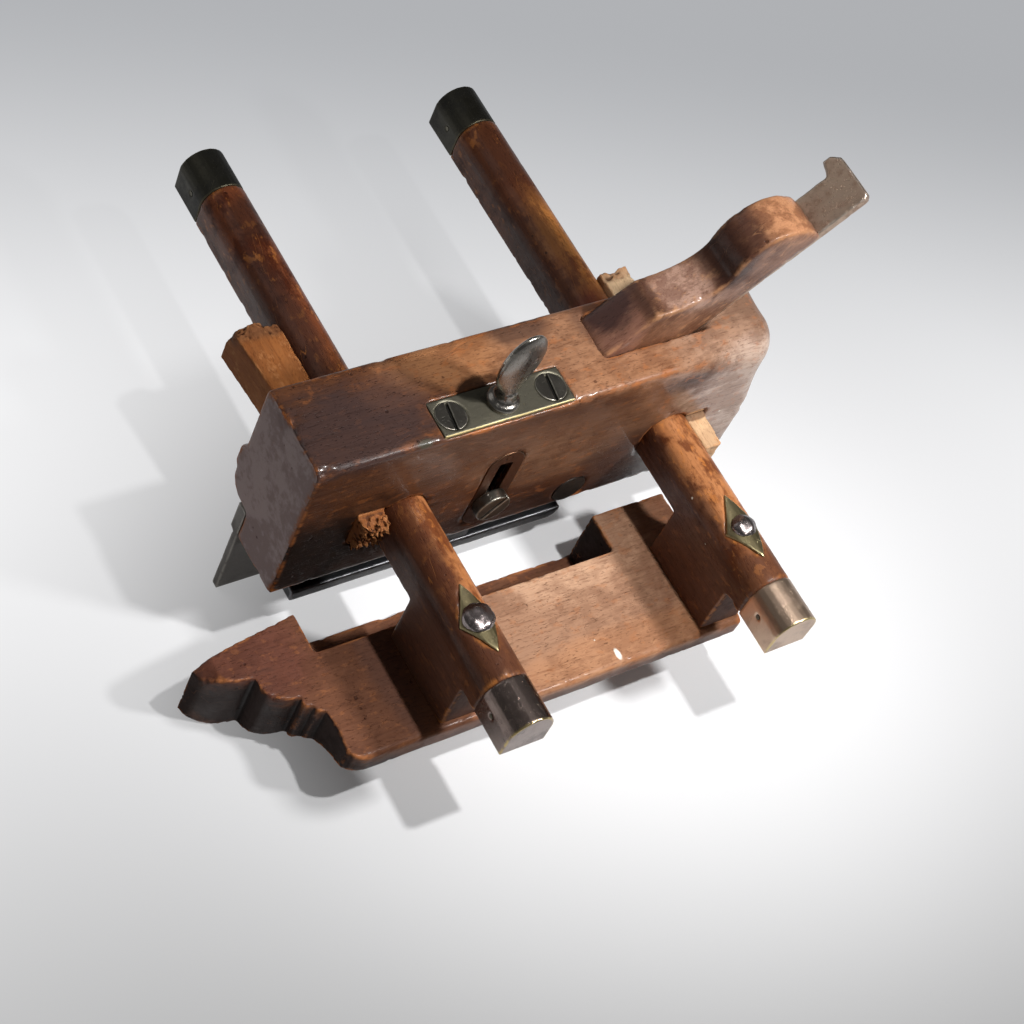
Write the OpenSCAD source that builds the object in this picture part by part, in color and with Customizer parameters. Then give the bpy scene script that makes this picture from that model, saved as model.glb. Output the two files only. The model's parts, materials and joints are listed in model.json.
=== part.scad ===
// Wooden plough plane with wedged stems, a moulded fence, a screw depth stop,
// an iron skate in two lengths and a snecked iron held by a wedge.
// Millimetres, +Z up. The origin lies on the running edge of the skate, at half
// the length of the stock and half the thickness of the skate. +X runs from toe
// to heel, +Y away from the fence.

/* [Stock] */
// length of the stock from toe to heel
stock_length = 199; // [190:1:215]
// width of the stock above its moulding
stock_width = 36.8; // [35:0.2:42]
// height of the stock
stock_height = 72.6; // [70:0.2:80]
// width of the stock below its moulding, up to the wall that the skate is riveted to
lower_width = 24.9; // [24.5:0.1:26]
// height of the rebate that holds the skate
rebate_height = 15; // [13:0.5:16]
// radius of the ovolo above the rebate
ovolo_radius = 9; // [7:0.5:9.5]
// how far the flat bead of the moulding stands out of the far side
bead_proud = 2.8; // [1.6:0.2:4]
// radius of the hollow above the bead
hollow_radius = 8; // [6:0.5:10]
// rounding of the long top edges
arris_round = 2.4; // [0.8:0.2:4]
// rounding of the top edge at the heel
heel_round = 7; // [3:0.5:14]
// rounding of the upright edges at the heel
heel_edge_round = 6; // [2:0.5:10]

/* [Skate] */
// depth of the skate below the stock
skate_drop = 34.5; // [34.5:0.5:38]
// thickness of the skate below the stock
skate_thickness = 3; // [2.4:0.2:4]
// thickness of the skate where it is riveted to the stock
flange_thickness = 5; // [4.2:0.2:5.6]
// gap in front of the cutting edge
mouth_gap = 3; // [2:0.25:5]
// slope of the back end of the front skate, degrees from level
mouth_slope = 70; // [62:1:80]
// shank radius of the skate rivets
skate_rivet_radius = 2.4; // [1.8:0.1:2.8]
// head radius of the skate rivets
skate_rivet_head = 4.2; // [3.4:0.1:5]
// radius of the flush disc on the fence side of the stock
disc_radius = 6.8; // [5:0.1:7]
// thickness of that disc
disc_thickness = 2; // [1:0.25:3]
// distance of that disc from the toe
disc_from_toe = 124; // [118:1:132]

/* [Iron and its wedge] */
// slope of the iron, degrees from level
bed_angle = 48; // [46:0.5:50]
// thickness of the iron
iron_thickness = 4.5; // [3.5:0.25:6]
// distance from the toe to the face of the iron, at the top of the stock
iron_from_toe = 162.8; // [160:0.5:168]
// width of the iron's shank
iron_width = 15.6; // [14:0.2:16.4]
// width of the iron's cutting end
cut_width = 5.8; // [4:0.2:5.8]
// how far the iron stands out above the stock, along its slope
iron_above = 75.5; // [70:0.5:80]
// how far the hook at the top of the iron stands out sideways
hook_reach = 5.6; // [3:0.2:8]
// width of the hook along the iron
hook_width = 8; // [6:0.25:10]
// height of the cutting edge above the running edge of the skate
edge_lift = 0.4; // [0.2:0.1:1]
// distance of the throat from the fence side of the stock
throat_from_near = 13.3; // [13:0.1:14]
// width of the throat
throat_width = 17.8; // [17.4:0.1:18.4]
// length of the wedge along the top of the stock
wedge_length = 41; // [37:0.5:43]
// slope of the front of the throat, degrees from level
throat_slope = 59; // [57:0.5:62]
// length of the wedge above the stock, along the iron
wedge_above = 54; // [51:0.5:57]
// height of the wedge's sloped front above the stock
wedge_front_height = 16.6; // [14:0.2:18]
// radius of the round head of the wedge
wedge_head_radius = 18.5; // [16:0.25:20]
// height of the middle of that head above the face of the iron
wedge_head_lift = 4; // [2:0.25:6]
// height of the wedge's lower tip above the stock's underside
wedge_tip_height = 18; // [16.5:0.5:22]

/* [Stems] */
// width of a stem
stem_width = 18; // [17:0.2:19]
// height of a stem
stem_height = 18.6; // [17.6:0.2:21]
// rise of the arched top of a stem
stem_arch = 8; // [5:0.1:8.2]
// height of the stems above the stock's underside
stem_lift = 20.6; // [19.5:0.2:23]
// length of the toe stem
toe_stem_length = 250.5; // [235:0.5:275]
// length of the heel stem
heel_stem_length = 254.5; // [235:0.5:275]
// distance of the toe stem from the toe
toe_stem_from_toe = 44.7; // [42:0.2:48]
// distance of the heel stem from the toe
heel_stem_from_toe = 158.2; // [154:0.2:161]
// length of the brass ferrules
ferrule_length = 18; // [12:0.5:22]
// thickness of the ferrule walls
ferrule_wall = 1.2; // [0.8:0.1:1.8]
// thickness of the ferrule ends
ferrule_cap = 1.5; // [1:0.1:2.5]
// radius of the pins in the ferrules
ferrule_pin_radius = 0.9; // [0.6:0.1:1.2]
// length of the diamond roves
rove_length = 28; // [22:0.5:34]
// width of the diamond roves
rove_width = 13.4; // [11:0.2:15]
// thickness of the diamond roves
rove_thickness = 1.8; // [1.2:0.1:2.4]
// shank radius of the fence rivets
fence_rivet_radius = 3; // [2.4:0.1:3.6]
// head radius of the fence rivets
fence_rivet_head = 5.8; // [4.8:0.1:6.2]
// height of the domed heads
fence_rivet_dome = 3; // [2:0.1:4]

/* [Stem wedges] */
// height of the stem wedges
stem_wedge_height = 16.6; // [16.6:0.2:18]
// thickness of the toe wedge at the fence side of the stock
toe_wedge_thickness = 10.6; // [9:0.2:12]
// thickness of the heel wedge at the fence side of the stock
heel_wedge_thickness = 8.4; // [7:0.2:10]
// growth in thickness of the toe wedge for each millimetre of length
toe_wedge_taper = 0.085; // [0.05:0.005:0.1]
// growth in thickness of the heel wedge for each millimetre of length
heel_wedge_taper = 0.062; // [0.05:0.002:0.08]
// how far the thin end of the toe wedge stands out on the fence side
toe_wedge_stub = 5; // [2:0.5:8]
// how far the thin end of the heel wedge stands out on the fence side
heel_wedge_stub = 13; // [4:0.5:18]
// height of the toe wedge's thin end
toe_stub_height = 15.4; // [11:0.2:16.6]
// height of the heel wedge's thin end
heel_stub_height = 12.4; // [8:0.2:16.6]
// how far the toe wedge reaches past the fence side of the stock
toe_wedge_reach = 84; // [76:0.5:95]
// how far the heel wedge reaches past the fence side of the stock
heel_wedge_reach = 68; // [60:0.5:80]

/* [Fence] */
// length of the fence behind the toe of the stock
fence_behind_toe = 168; // [168:0.5:180]
// length of the fence in front of the toe of the stock
fence_before_toe = 34.3; // [30:0.1:40]
// width of the fence
fence_width = 59.5; // [58:0.5:61]
// height of the fence's working face
fence_height = 30.1; // [28:0.1:30.1]
// height of the fence's thin edge
fence_edge = 9; // [6:0.25:11]
// width of the level strip under the fence
fence_flat = 20; // [17:0.5:23]
// gap between the top of the fence and the stock's underside
fence_drop = 4.4; // [3:0.2:4.4]
// gap between the shoulders of the stems and the stock, as photographed
fence_set = 27.2; // [22:0.2:32]
// length of the stems' feet on the fence
foot_length = 37.3; // [36:0.1:40]
// how far the fence stands out past those feet
fence_lip = 2.4; // [0.5:0.1:4]
// how far the stems stand out past their feet
stem_overhang = 26.2; // [22:0.2:30]
// depth of the notch that clears the depth stop
notch_depth = 16.5; // [15.5:0.1:17]
// thickness of the floor of that notch
notch_floor = 2.4; // [1.6:0.1:2.6]

/* [Depth stop] */
// length of the shoe
shoe_length = 116; // [104:1:118]
// width of the shoe
shoe_width = 17; // [14:0.25:18]
// height of the shoe
shoe_height = 6; // [4:0.25:6]
// distance of the shoe from the toe
shoe_from_toe = 15.6; // [14:0.2:17]
// distance of the shoe from the fence side of the stock
shoe_from_near = 4.4; // [4.2:0.1:5]
// depth of the shoe below the stock, as photographed
stop_drop = 14.5; // [12:0.25:16]
// width of the bar that carries the shoe
bar_width = 19; // [18:0.2:20]
// thickness of that bar
bar_thickness = 6.4; // [6:0.1:6.6]
// length of that bar above the shoe
bar_length = 56.5; // [52:0.5:58]
// distance of the thumbscrew from the toe
thumb_from_toe = 75.2; // [74.5:0.1:76]
// distance of the thumbscrew from the fence side of the stock
thumb_from_near = 8.2; // [7.9:0.1:8.6]
// distance of the lock screw from the toe
lock_from_toe = 83.6; // [83:0.1:84]
// height of the lock screw above the stock's underside, as photographed
lock_height = 20; // [19:0.5:21]
// head radius of the lock screw
lock_head_radius = 6.8; // [5.5:0.1:7]
// height of the lock screw's head
lock_head_height = 4.4; // [3:0.2:6]
// shank radius of the lock screw
lock_shank_radius = 2.2; // [1.6:0.1:2.4]
// width of the side plate
side_plate_width = 15; // [14.2:0.2:15]
// height of the side plate
side_plate_height = 44; // [43:0.5:47]
// thickness of the side plate
side_plate_thickness = 1.8; // [1.2:0.1:2.2]
// width of the slot in the side plate
slot_width = 5.4; // [5:0.1:6]
// height of the slot in the side plate
slot_height = 31; // [30.5:0.5:32]
// height of the middle of the side plate above the stock's underside
side_plate_lift = 27; // [26.5:0.25:28]

/* [Top plate and thumbscrew] */
// width of the top plate
top_plate_width = 14.6; // [13.6:0.2:15]
// thickness of the top plate
top_plate_thickness = 2.2; // [1.6:0.1:3]
// distance of the top plate from the fence side of the stock
top_plate_from_near = 0.9; // [0.8:0.1:1.4]
// distance between the two top plate screws
plate_screw_spacing = 40.6; // [36:0.2:41]
// head radius of the top plate screws
plate_screw_head = 5.8; // [4.8:0.1:6]
// metal between those screw heads and the ends of the top plate
plate_end_margin = 0.5; // [0.4:0.1:3]
// shank radius of the top plate screws
plate_screw_radius = 2.2; // [1.6:0.1:2.6]
// length of the top plate screws
plate_screw_length = 20; // [14:0.5:24]
// radius of the thumbscrew's threaded rod
rod_radius = 2.6; // [2.2:0.1:2.6]
// length of that rod below the top of the stock
rod_length = 50; // [47:0.5:54]
// radius of the collar under the thumb leaf
collar_radius = 6; // [5:0.1:6.6]
// height of the collar
collar_height = 2.6; // [2:0.1:3.5]
// width of the thumb leaf
leaf_width = 19; // [15:0.5:22]
// height of the thumb leaf
leaf_height = 31; // [26:0.5:34]
// thickness of the thumb leaf
leaf_thickness = 5.6; // [4:0.1:7]
// turn of the thumb leaf, as photographed, degrees
leaf_turn = 6; // [-30:1:30]

/* [Fits] */
// play between a stem and its mortise
stem_fit = 0.3; // [0.2:0.05:0.4]
// play between flat sliding faces
slide_fit = 0.08; // [0.05:0.01:0.12]
// play around a turning rod or screw
turn_fit = 0.05; // [0.03:0.01:0.08]
// play between pieces that are fixed to each other
seat_fit = 0.02; // [0.01:0.01:0.04]

/* [Hidden] */
$fn = 64;
over = 1;

// Colours, as the photograph shows them
wood_dark = [0.36, 0.19, 0.12];
wood_stem = [0.48, 0.25, 0.14];
wood_fence = [0.52, 0.33, 0.23];
wood_wedge = [0.50, 0.33, 0.22];
wood_fresh = [0.72, 0.45, 0.26];
brass_dark = [0.38, 0.35, 0.26];
brass_clean = [0.58, 0.50, 0.30];
iron_black = [0.16, 0.16, 0.17];
iron_brown = [0.30, 0.26, 0.24];
steel_old = [0.42, 0.38, 0.34];
bronze = [0.28, 0.24, 0.19];

// The stock's corner at toe, fence side and underside, from which pieces are placed
corner = [-stock_length / 2, -(lower_width + skate_thickness / 2), skate_drop];
far_reach = stock_width + bead_proud;

top_plate_length = plate_screw_spacing + (plate_screw_head + plate_end_margin) * 2;

// Iron, bed and throat, in the stock's side view
iron_across = iron_thickness / sin(bed_angle);
function iron_face(z) = iron_from_toe - (stock_height - z) / tan(bed_angle);
function bed(z) = iron_face(z) + iron_across;
function throat_front(z) = iron_from_toe - wedge_length - (stock_height - z) / tan(throat_slope);
throat_play = slide_fit * 3;
throat_far = throat_from_near + throat_width;
iron_near = throat_far - throat_play - iron_width;
cut_near = throat_far - throat_play - cut_width;
sole = -skate_drop;

// Stems, feet and fence, seen from the stock's corner
stem_top = stem_lift + stem_height;
arch_radius = (pow(stem_width / 2, 2) + pow(stem_arch, 2)) / (2 * stem_arch);
shoulder = -fence_set;
foot_near = shoulder - foot_length;
fence_near = foot_near - fence_lip;
fence_far = fence_near + fence_width;
stem_near_end = foot_near - stem_overhang;
function stem_far_end(x) = stem_near_end
    + (x == toe_stem_from_toe ? toe_stem_length : heel_stem_length);
fence_top = -fence_drop;
fence_bottom = fence_top - fence_height;
rivet_across = shoulder - foot_length * 0.6;
burr_thickness = 1.5;
burr_radius = fence_rivet_radius + 3.4;
burr_seat = fence_bottom + (fence_height - fence_edge)
    * (fence_far - fence_flat - rivet_across - burr_radius)
    / (fence_width - fence_flat) + burr_thickness + 2.6;

// Depth stop
shoe_top = -stop_drop;
bar_middle = (thumb_from_toe + lock_from_toe) / 2;
bar_near = thumb_from_near - bar_thickness / 2;
bar_room = slide_fit * 3;
bar_well_top = bar_length + over;
rod_room = 0.6;
lock_bore = bar_thickness * 0.7;
lock_tip = bar_thickness * 0.6;
notch_toe_play = 8;
notch_heel_play = 3;
notch_start = shoe_from_toe - notch_toe_play;
notch_end = shoe_from_toe + shoe_length + notch_heel_play;
rod_bore_depth = bar_length + rod_length - stock_height + over;

function arc(middle, rx, ry, from, to, steps = 10) = [
    for (i = [0 : steps])
        let (a = from + (to - from) * i / steps)
        [middle[0] + rx * cos(a), middle[1] + ry * sin(a)]
];

// Places that follow the stock's corner
module in_stock() {
    translate(corner) children();
}

// A side view (length, height) drawn out across the plane
module across(y_from, y_to) {
    translate([0, y_to, 0]) rotate([90, 0, 0]) linear_extrude(y_to - y_from) children();
}

// An end view (width, height) drawn out along the plane
module along(x_from, x_to) {
    translate([x_from, 0, 0]) rotate([90, 0, 90]) linear_extrude(x_to - x_from) children();
}

// A round piece whose axis runs across the plane, from the near end
module round_across(x, z, y_from, y_to, radius) {
    translate([x, y_to, z]) rotate([90, 0, 0]) cylinder(h = y_to - y_from, r = radius);
}

// Stock

module stock_section() {
    ovolo_side = stock_width + 1.2;
    ovolo_top = rebate_height + ovolo_radius;
    quirk_height = 2;
    bead_slope = 1.4;
    bead_height = 8.6;
    hollow_end = acos((hollow_radius - bead_proud) / hollow_radius);
    bead_low = ovolo_top + quirk_height + bead_slope;
    hollow_middle = [
        stock_width + hollow_radius,
        bead_low + bead_height + hollow_radius * sin(hollow_end)
    ];
    polygon(concat(
        [[0, 0], [lower_width, 0], [lower_width, rebate_height]],
        arc([ovolo_side - ovolo_radius, ovolo_top], ovolo_radius, ovolo_radius, -90, 0),
        [[ovolo_side, ovolo_top + quirk_height], [far_reach, bead_low]],
        arc(hollow_middle, hollow_radius, hollow_radius, 180 + hollow_end, 180, 6),
        arc([stock_width - arris_round, stock_height - arris_round],
            arris_round, arris_round, 0, 90, 5),
        arc([arris_round, stock_height - arris_round], arris_round, arris_round, 90, 180, 5)
    ));
}

module stock_side() {
    toe_round = arris_round / 2;
    polygon(concat(
        [[0, 0], [stock_length, 0]],
        arc([stock_length - heel_round, stock_height - heel_round],
            heel_round, heel_round, 0, 90),
        arc([toe_round, stock_height - toe_round], toe_round, toe_round, 90, 180, 4)
    ));
}

// The plan of the stock, with its upright heel edges rounded
module stock_plan() {
    back = stock_length - heel_edge_round;
    polygon(concat(
        [[0, 0]],
        arc([back, heel_edge_round], heel_edge_round, heel_edge_round, -90, 0, 8),
        arc([back, far_reach - heel_edge_round], heel_edge_round, heel_edge_round, 0, 90, 8),
        [[0, far_reach]]
    ));
}

module stem_section(grow) {
    half = stem_width / 2 + grow;
    radius = arch_radius + grow;
    lean = asin(half / radius);
    polygon(concat(
        [[-half, -grow], [half, -grow]],
        arc([0, stem_height - arch_radius], radius, radius, 90 - lean, 90 + lean, 12)
    ));
}

module stem_mortise(x) {
    across(-over, far_reach + over) translate([x, stem_lift]) stem_section(stem_fit);
}

// Plan of a stem wedge: x grows away from the stem, y away from the fence
module stem_wedge_plan(thickness, taper, y_from, y_to, inner, play) {
    polygon([
        [inner, y_from],
        [thickness + taper * y_from + play, y_from],
        [thickness + taper * y_to + play, y_to],
        [inner, y_to]
    ]);
}

module wedge_slot(thickness, taper) {
    translate([0, 0, stem_lift - slide_fit]) linear_extrude(stem_wedge_height + slide_fit * 2)
        stem_wedge_plan(thickness, taper, -over, far_reach + over, -over, slide_fit);
}

module throat() {
    across(throat_from_near, throat_far) polygon([
        [throat_front(stock_height + over) - throat_play, stock_height + over],
        [bed(stock_height + over) + slide_fit, stock_height + over],
        [bed(rebate_height - over) + slide_fit, rebate_height - over],
        [throat_front(rebate_height - over) - throat_play, rebate_height - over]
    ]);
}

// The opening on the far side through which shavings leave
module shaving_opening() {
    opening_length = 29;
    opening_height = 25;
    opening_top = 14;
    across(throat_far - over, far_reach + over) polygon([
        [iron_face(rebate_height) - opening_length, rebate_height - over],
        [iron_face(rebate_height), rebate_height - over],
        [iron_face(rebate_height + opening_height), rebate_height + opening_height],
        [iron_face(rebate_height + opening_height) - opening_top, rebate_height + opening_height]
    ]);
}

module side_plate_outline(play) {
    half = side_plate_width / 2 + play;
    straight = side_plate_height / 2 - side_plate_width / 2;
    translate([lock_from_toe, side_plate_lift]) union() {
        translate([-half, -straight]) square([half * 2, straight * 2]);
        translate([0, straight]) circle(half);
        translate([0, -straight]) circle(half);
    }
}

module slot_outline(play) {
    translate([lock_from_toe - slot_width / 2 - play, side_plate_lift - slot_height / 2 - play])
        square([slot_width + play * 2, slot_height + play * 2]);
}

module bar_well() {
    translate([
        bar_middle - bar_width / 2 - bar_room,
        bar_near - bar_room,
        -over
    ]) cube([bar_width + bar_room * 2, bar_thickness + bar_room * 2, bar_well_top + over]);
}

module top_plate_outline(play) {
    translate([
        thumb_from_toe - top_plate_length / 2 - play,
        top_plate_from_near - play
    ]) square([top_plate_length + play * 2, top_plate_width + play * 2]);
}

module at_plate_screws() {
    for (side = [-1, 1])
        translate([
            thumb_from_toe + side * plate_screw_spacing / 2,
            top_plate_from_near + top_plate_width / 2,
            stock_height
        ]) children();
}

// A countersunk screw or rivet hanging from its head at the origin
module countersunk(head, shank, length, sink) {
    rotate_extrude() polygon([
        [0, 0], [head, 0], [head, -0.4], [shank, -sink], [shank, -length], [0, -length]
    ]);
}

// The rivet behind the disc goes through the stock, the others end in its wood
module skate_rivet_shapes(grow) {
    from_toe = [18, 56];
    from_heel = [45, 12];
    rivet_sink = 2.6;
    short = flange_thickness + 11;
    through = lower_width + flange_thickness - disc_thickness;
    places = concat(from_toe, [for (x = from_heel) stock_length - x], disc_from_toe);
    for (x = places)
        translate([x, lower_width + flange_thickness, rebate_height / 2]) rotate([-90, 0, 0])
            countersunk(skate_rivet_head + grow, skate_rivet_radius + grow,
                x == disc_from_toe ? through : short, rivet_sink);
}

module stock() {
    color(wood_dark) in_stock() difference() {
        intersection() {
            along(0, stock_length) stock_section();
            across(-over, far_reach + over) stock_side();
            linear_extrude(stock_height) stock_plan();
        }
        stem_mortise(toe_stem_from_toe);
        stem_mortise(heel_stem_from_toe);
        translate([toe_stem_from_toe - stem_width / 2, 0, 0]) mirror([1, 0, 0])
            wedge_slot(toe_wedge_thickness, toe_wedge_taper);
        translate([heel_stem_from_toe + stem_width / 2, 0, 0])
            wedge_slot(heel_wedge_thickness, heel_wedge_taper);
        throat();
        shaving_opening();
        across(-over, side_plate_thickness + seat_fit) side_plate_outline(seat_fit);
        across(0, bar_near) slot_outline(0);
        bar_well();
        translate([0, 0, stock_height - top_plate_thickness])
            linear_extrude(top_plate_thickness + over) top_plate_outline(seat_fit);
        translate([thumb_from_toe, thumb_from_near, 0])
            cylinder(h = stock_height, r = rod_radius + rod_room);
        plate_screw_shapes(seat_fit);
        side_plate_pin_shapes(seat_fit);
        skate_rivet_shapes(seat_fit);
        round_across(disc_from_toe, rebate_height / 2, -over, disc_thickness,
            disc_radius + seat_fit);
    }
}

// Skate

function front_skate_end(z) = iron_face(sole) - mouth_gap + (z - sole) / tan(mouth_slope);

module front_skate_side(z_from, z_to) {
    polygon([
        [0, z_from], [front_skate_end(z_from), z_from],
        [front_skate_end(z_to), z_to], [0, z_to]
    ]);
}

module rear_skate_side(z_from, z_to) {
    heel_lift = 6;
    back = stock_length - heel_lift;
    front_low = bed(z_from) + slide_fit;
    front_high = bed(z_to) + slide_fit;
    polygon(z_from < 0
        ? concat([[front_low, z_from]],
            arc([back, z_from + heel_lift], heel_lift, heel_lift, -90, 0, 8),
            [[stock_length, z_to], [front_high, z_to]])
        : [[front_low, z_from], [stock_length, z_from],
            [stock_length, z_to], [front_high, z_to]]);
}

module front_skate() {
    color(iron_brown) in_stock() difference() {
        union() {
            across(lower_width, lower_width + skate_thickness) front_skate_side(sole, 0);
            across(lower_width, lower_width + flange_thickness)
                front_skate_side(0, rebate_height);
        }
        skate_rivet_shapes(seat_fit);
    }
}

module rear_skate() {
    color(iron_brown) in_stock() difference() {
        union() {
            across(lower_width, lower_width + skate_thickness) rear_skate_side(sole, 0);
            across(lower_width, lower_width + flange_thickness)
                rear_skate_side(0, rebate_height);
        }
        skate_rivet_shapes(seat_fit);
    }
}

module skate_rivets() {
    color(iron_brown) in_stock() skate_rivet_shapes(0);
}

module skate_disc() {
    color(iron_brown) in_stock()
        round_across(disc_from_toe, rebate_height / 2, 0, disc_thickness, disc_radius);
}

// Top plate and side plate

module top_plate() {
    color(brass_dark) in_stock() difference() {
        translate([0, 0, stock_height - top_plate_thickness])
            linear_extrude(top_plate_thickness) top_plate_outline(0);
        plate_screw_shapes(seat_fit);
        translate([thumb_from_toe, thumb_from_near, stock_height - top_plate_thickness - over])
            cylinder(h = top_plate_thickness + over * 2, r = rod_radius + turn_fit);
    }
}

module plate_screw_shapes(grow) {
    screw_sink = 4;
    at_plate_screws()
        countersunk(plate_screw_head + grow, plate_screw_radius + grow, plate_screw_length, screw_sink);
}

module top_plate_screws() {
    slot_depth = 1.1;
    slot_across = 1.3;
    slot_turn = 82;
    color(steel_old) in_stock() difference() {
        plate_screw_shapes(0);
        at_plate_screws() rotate([0, 0, slot_turn])
            cube([plate_screw_head * 2 + over, slot_across, slot_depth * 2], center = true);
    }
}

module side_plate_pin_shapes(grow) {
    pin_radius = 1.2;
    pin_length = 4;
    pin_inset = 3.2;
    for (side = [-1, 1])
        round_across(
            lock_from_toe,
            side_plate_lift + side * (side_plate_height / 2 - pin_inset),
            0, pin_length, pin_radius + grow
        );
}

module side_plate() {
    color(brass_dark) in_stock() difference() {
        across(0, side_plate_thickness) side_plate_outline(0);
        across(-over, side_plate_thickness + over) slot_outline(0);
        side_plate_pin_shapes(seat_fit);
    }
}

module side_plate_pins() {
    color(brass_dark) in_stock() side_plate_pin_shapes(0);
}

// Fence

// The moulded toe end of the fence in plan, from its working face to its thin edge
function fence_end_outline() = concat(
    [[8, fence_far]],
    arc([-16.8, fence_far - 6.6], fence_before_toe - 16.8, 11.7, 180, 270, 9),
    arc([-6.2, fence_far - 22.1], 10.6, 8, 180, 270, 7),
    arc([-3.6, fence_far - 32.6], 2.2, 2.2, 115, 245, 6),
    arc([-0.8, fence_far - 36.2], 1.8, 1.6, 125, 240, 5),
    arc([-19, fence_far - 45.6], 20, 30, 15, -18, 7),
    arc([8, fence_near + 4.4], 7, 4.4, 180, 270, 6)
);

module fence_plan() {
    polygon(concat([[fence_behind_toe, fence_far]], fence_end_outline(),
        [[fence_behind_toe, fence_near]]));
}

module fence_section() {
    edge_round = 2;
    polygon(concat(
        [[fence_far, fence_top], [fence_far, fence_bottom],
         [fence_far - fence_flat, fence_bottom]],
        [[fence_near, fence_top - fence_edge]],
        arc([fence_near + edge_round, fence_top - edge_round],
            edge_round, edge_round, 180, 90, 5)
    ));
}

// The long view of the fence: the top of its tip is worn to a slope
module fence_side() {
    worn_back = 6.5;
    worn_down = 4.5;
    polygon([
        [fence_behind_toe, fence_bottom], [-fence_before_toe, fence_bottom],
        [-fence_before_toe, fence_top - worn_down],
        [worn_back - fence_before_toe, fence_top],
        [fence_behind_toe, fence_top]
    ]);
}

module at_fence_rivets(z) {
    for (x = [toe_stem_from_toe, heel_stem_from_toe])
        translate([x, rivet_across, z]) children();
}

module fence() {
    color(wood_fence) in_stock() difference() {
        intersection() {
            translate([0, 0, fence_bottom]) linear_extrude(fence_height) fence_plan();
            along(-fence_before_toe - over, fence_behind_toe + over) fence_section();
            across(fence_near - over, fence_far + over) fence_side();
        }
        translate([notch_start, fence_far - notch_depth, fence_bottom + notch_floor])
            cube([notch_end - notch_start, notch_depth + over, fence_height]);
        at_fence_rivets(fence_bottom - over)
            cylinder(h = fence_height + over * 2, r = fence_rivet_radius + seat_fit);
        at_fence_rivets(fence_bottom - over)
            cylinder(h = burr_seat - fence_bottom + over, r = burr_radius + seat_fit);
    }
}

// Stems with their feet

module stem_wood(x) {
    color(wood_stem) in_stock() difference() {
        union() {
            across(stem_near_end + ferrule_length, stem_far_end(x) - ferrule_length)
                translate([x, stem_lift]) stem_section(0);
            across(stem_near_end + ferrule_cap + seat_fit,
                stem_far_end(x) - ferrule_cap - seat_fit)
                translate([x, stem_lift]) stem_section(-ferrule_wall - seat_fit);
            translate([x - stem_width / 2, foot_near, fence_top])
                cube([stem_width, foot_length, fence_drop + stem_lift + over]);
        }
        rove_shape(x, seat_fit);
        translate([x, rivet_across, fence_top - over])
            cylinder(h = stem_top - fence_top + over, r = fence_rivet_radius + seat_fit);
        ferrule_pin_shapes(seat_fit);
    }
}

module toe_stem() {
    stem_wood(toe_stem_from_toe);
}

module heel_stem() {
    stem_wood(heel_stem_from_toe);
}

// A ferrule whose closed end is at y = 0 and whose mouth faces away from the fence
module ferrule(x) {
    color(brass_dark) difference() {
        across(0, ferrule_length - seat_fit) translate([x, stem_lift]) stem_section(0);
        across(ferrule_cap, ferrule_length + over)
            translate([x, stem_lift]) stem_section(-ferrule_wall);
    }
}

module ferrule_pair_end(x, far) {
    in_stock() difference() {
        translate([0, far ? stem_far_end(x) : stem_near_end, 0])
            mirror([0, far ? 1 : 0, 0]) ferrule(x);
        ferrule_pin_shapes(seat_fit);
    }
}

module toe_near_ferrule() {
    color(brass_dark) ferrule_pair_end(toe_stem_from_toe, false);
}

module toe_far_ferrule() {
    color(brass_dark) ferrule_pair_end(toe_stem_from_toe, true);
}

module heel_near_ferrule() {
    color(brass_dark) ferrule_pair_end(heel_stem_from_toe, false);
}

module heel_far_ferrule() {
    color(brass_dark) ferrule_pair_end(heel_stem_from_toe, true);
}

module ferrule_pin_shapes(grow) {
    pin_length = 6;
    for (x = [toe_stem_from_toe, heel_stem_from_toe])
        for (y = [stem_near_end + ferrule_length * 0.6,
            stem_far_end(x) - ferrule_length * 0.6])
            translate([x - stem_width / 2, y, stem_lift + stem_height * 0.45])
                rotate([0, 90, 0]) cylinder(h = pin_length, r = ferrule_pin_radius + grow);
}

module ferrule_pins() {
    color(brass_clean) in_stock() ferrule_pin_shapes(0);
}

module rove_outline(grow) {
    long = rove_length / 2 + grow * 2;
    wide = rove_width / 2 + grow;
    polygon([[0, long], [-wide, 0], [0, -long], [wide, 0]]);
}

// A diamond of plate bent over the top of a stem, let in until a little stands proud
module rove_shape(x, grow) {
    proud = rove_thickness * 0.25;
    intersection() {
        translate([x, rivet_across, stem_top - stem_arch]) linear_extrude(stem_arch + over * 2)
            rove_outline(grow);
        across(rivet_across - rove_length, rivet_across + rove_length)
            translate([x, stem_lift]) difference() {
                stem_section(proud + grow);
                stem_section(proud - rove_thickness - grow);
            }
    }
}

module rove(x) {
    color(brass_clean) in_stock() difference() {
        rove_shape(x, 0);
        translate([x, rivet_across, stem_lift])
            cylinder(h = stem_height + over * 2, r = fence_rivet_radius + seat_fit);
    }
}

module toe_rove() {
    rove(toe_stem_from_toe);
}

module heel_rove() {
    rove(heel_stem_from_toe);
}

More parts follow.
